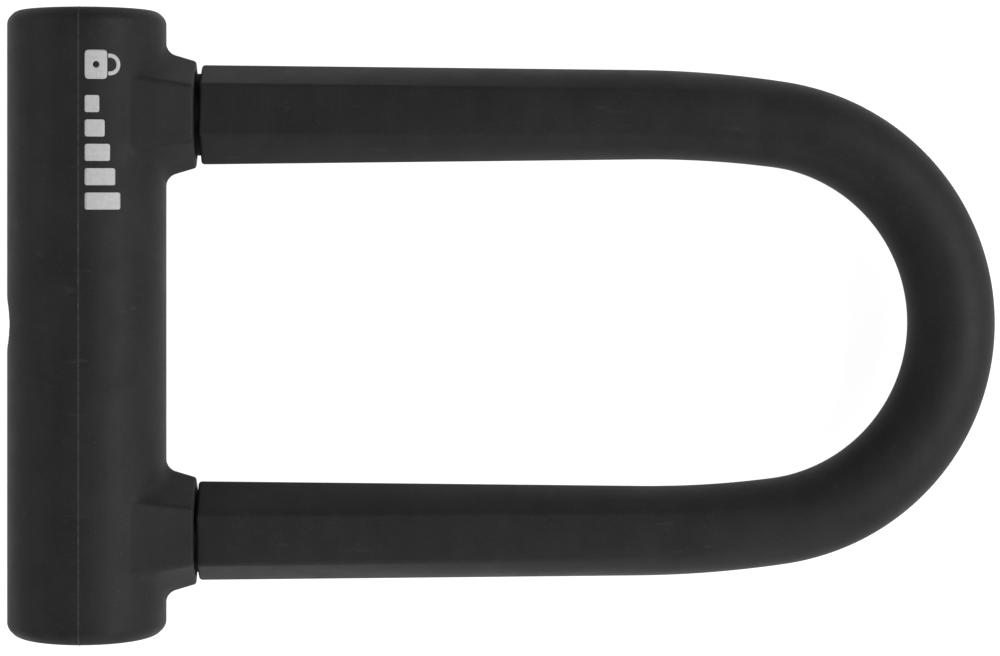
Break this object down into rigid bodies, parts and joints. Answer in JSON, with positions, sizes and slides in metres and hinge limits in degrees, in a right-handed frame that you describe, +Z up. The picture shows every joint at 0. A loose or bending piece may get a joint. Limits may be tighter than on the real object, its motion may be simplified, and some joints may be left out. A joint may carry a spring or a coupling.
{
  "type": "u lock",
  "caption": "Bicycle U lock: a round silicone-covered crossbar with a keyhole, and a silicone-sleeved steel shackle that bolts at both feet.",
  "frame": {"origin": "middle of the crossbar's axis, level with the keyhole", "axes": "+X along the legs from the crossbar to the bend, +Y along the crossbar to its left end as seen facing the keyhole, +Z up out of the lock's plane; the keyhole faces -X"},
  "size_m": [0.2504, 0.1582, 0.0404],
  "materials": {
    "silicone": "matte",
    "print_ink": "matte",
    "shackle_steel": "satin",
    "tube_steel": "satin",
    "hard_steel": "satin",
    "zinc_steel": "satin",
    "die_cast": "satin",
    "nylon": "satin",
    "brass": "satin"
  },
  "bodies": {
    "crossbar": {"bar_cover": "silicone", "lock_tube": "tube_steel", "end_plug_left": "die_cast", "end_plug_right": "die_cast", "end_plug_pins": "hard_steel", "foot_guide_left": "nylon", "foot_guide_right": "nylon", "case_top": "die_cast", "case_bottom": "die_cast", "case_screws": "zinc_steel", "cylinder_shell": "brass", "cylinder_pin": "hard_steel"},
    "key_plug": {"plug_drum": "brass", "guard_disc": "hard_steel", "lock_disc_1": "hard_steel", "lock_disc_2": "hard_steel", "lock_disc_3": "hard_steel", "lock_disc_4": "hard_steel", "lock_disc_5": "hard_steel", "spacer_ring_1": "brass", "spacer_ring_2": "brass", "spacer_ring_3": "brass", "spacer_ring_4": "brass", "spacer_ring_5": "brass", "sidebar": "hard_steel", "plug_tail": "hard_steel", "tail_pin": "hard_steel", "circlip": "hard_steel", "pinion": "hard_steel", "pinion_washer": "zinc_steel", "pinion_screw": "zinc_steel"},
    "bolt_left_body": {"bolt_left": "hard_steel", "rack_left": "hard_steel", "bolt_pin_left": "zinc_steel"},
    "bolt_right_body": {"bolt_right": "hard_steel", "rack_right": "hard_steel", "bolt_pin_right": "zinc_steel"},
    "shackle": {"shackle_bar": "shackle_steel", "shackle_sleeve": "silicone", "collar_left": "nylon", "collar_right": "nylon"}
  },
  "joints": [
    {"name": "shackle_slide", "type": "slide", "parent": "crossbar", "child": "shackle", "axis": [1, 0, 0], "range_m": [0, 0.055]},
    {"name": "key_plug_turn", "type": "hinge", "parent": "crossbar", "child": "key_plug", "pos_m": [0, 0, 0], "axis": [1, 0, 0], "range_deg": [0, 90]},
    {"name": "bolt_left_slide", "type": "slide", "parent": "crossbar", "child": "bolt_left_body", "axis": [0, 1, 0], "range_m": [0, 0.00628]},
    {"name": "bolt_right_slide", "type": "slide", "parent": "crossbar", "child": "bolt_right_body", "axis": [0, -1, 0], "range_m": [0, 0.00628]}
  ],
  "couplings": [
    {"joint": "key_plug_turn", "follows": "bolt_left_slide", "rad_per_m": 250},
    {"joint": "bolt_right_slide", "follows": "bolt_left_slide", "ratio": 1}
  ]
}
